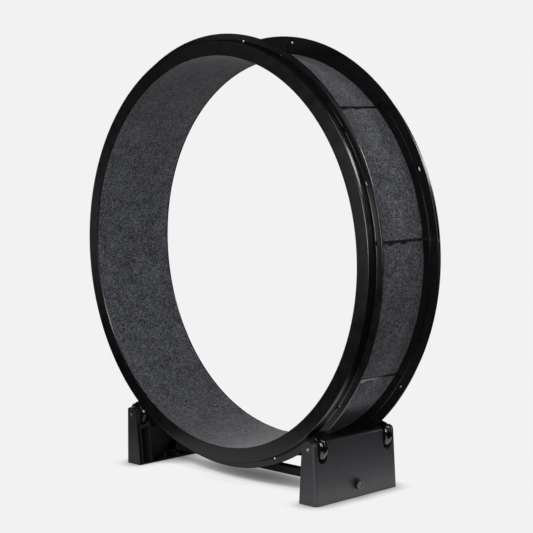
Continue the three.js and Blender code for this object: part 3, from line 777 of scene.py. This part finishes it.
def floor():
    """A pale floor that glows. The camera sees it as the same paper white as the backdrop, less a
    painted soft shadow of what stands on it. All other rays see a painted pool of light, which no
    lamp casts and which lights the object too, and shiny pieces also see the paper behind the
    object."""
    bpy.ops.object.select_all(action="DESELECT")
    bpy.ops.mesh.primitive_plane_add(size=FLOOR_SIZE)
    plane = bpy.context.object
    plane.name = "floor"
    material, tree, place = new_material("pale studio floor")
    rear = mirrored_from_behind(tree, place, 1.5, 3.0)
    # painted light: the floor's glowing pool, and for shiny pieces the paper behind the object
    glow = add(tree, "Math", {"operation": "MAXIMUM"}, {0: painted_light_pool(tree, place), 1: rear})
    lit = add(tree, "Emission", {"Color": colour(PAPER)}, {"Strength": glow})
    paper = add(tree, "Emission", {"Color": colour(PAPER)},
                {"Strength": contact_shadow(tree, place)})
    mix = add(tree, "MixShader", links={0: seen_directly(tree), 1: lit, 2: paper})
    add(tree, "OutputMaterial", links={"Surface": mix})
    plane.data.materials.append(material)


def backdrop():
    """Paper white to the camera, and to shiny pieces where they mirror what lies behind the
    object. The room on the camera's side is dark."""
    world = bpy.data.worlds.new("studio")
    bpy.context.scene.world = world
    world.use_nodes = True
    tree = world.node_tree
    tree.nodes.clear()
    direction = add(tree, "TexCoord").outputs["Generated"]
    mirrored = mirrored_from_behind(tree, direction, 0.95, 1.0)
    share = add(tree, "Math", {"operation": "MAXIMUM"}, {0: seen_directly(tree), 1: mirrored})
    room = add(tree, "Background", {"Color": colour(DARK_ROOM), "Strength": 0.4})
    paper = add(tree, "Background", {"Color": colour(PAPER), "Strength": 1.0})
    mix = add(tree, "MixShader", links={0: share, 1: room, 2: paper})
    add(tree, "OutputWorld", links={"Surface": mix})


LAMP_DISTANCE = 3.0
LAMPS = {
    # name: (degrees from +X towards +Y, elevation in degrees, width, height, watts)
    "key": (-52, 10, 1.4, 1.0, 38),
    "front_side": (-80, 2, 0.6, 0.6, 22),
    "right_high": (0, 50, 1.6, 1.2, 24),
    "rear_strip": (25, 20, 0.5, 1.6, 9),
    "rear_high": (48, 30, 0.5, 0.8, 20),
    "front_strip": (-115, 5, 0.5, 1.2, 4.4),
    "front_fill": (-135, 25, 0.5, 1.0, 0.5),
    "back_key": (122, 3, 1.6, 0.6, 18),
    "back_left": (175, 8, 1.6, 1.0, 22),
    "back_strip": (152, 5, 0.5, 1.2, 4),
}


def lamps():
    """Soft boxes round the wheel, all turned to its centre."""
    for name, (azimuth, elevation, width, height, watts) in LAMPS.items():
        lamp = bpy.data.lights.new(name, "AREA")
        lamp.shape = "RECTANGLE"
        lamp.size = width
        lamp.size_y = height
        lamp.energy = watts
        holder = bpy.data.objects.new(name, lamp)
        bpy.context.scene.collection.objects.link(holder)
        a = math.radians(azimuth)
        e = math.radians(elevation)
        away = Vector((math.cos(a) * math.cos(e), math.sin(a) * math.cos(e), math.sin(e)))
        holder.location = WHEEL_CENTRE + away * LAMP_DISTANCE
        holder.rotation_euler = away.to_track_quat("Z", "Y").to_euler()


AIM = Vector((0.02897, 0.03115, 0.58431))
CAMERA_AZIMUTH = 47.079  # degrees from -Y towards +X
CAMERA_ELEVATION = 4.831
CAMERA_ROLL = -1.242
CAMERA_DISTANCE = 3.95683
CAMERA_LENS = 96.166  # millimetres, as is the sensor
CAMERA_SENSOR = 36


def camera():
    """A long lens low on the right of the wheel's front."""
    lens = bpy.data.cameras.new("camera")
    lens.lens = CAMERA_LENS
    lens.sensor_width = CAMERA_SENSOR
    holder = bpy.data.objects.new("camera", lens)
    bpy.context.scene.collection.objects.link(holder)
    a = math.radians(CAMERA_AZIMUTH)
    e = math.radians(CAMERA_ELEVATION)
    away = Vector((math.sin(a) * math.cos(e), -math.cos(a) * math.cos(e), math.sin(e)))
    level = away.to_track_quat("Z", "Y").to_matrix()
    roll = Matrix.Rotation(math.radians(CAMERA_ROLL), 3, "Z")
    holder.location = AIM + away * CAMERA_DISTANCE
    holder.rotation_euler = (level @ roll).to_euler()
    bpy.context.scene.camera = holder


# ---------------------------------------------------------------- assembly

camera()
rims()
running_mat()
track_panels()
joint_strips()
rollers()
for place in PLACES:
    axle_pin(place)
stands()
floor()
backdrop()
lamps()
bpy.context.scene.view_settings.view_transform = "Standard"
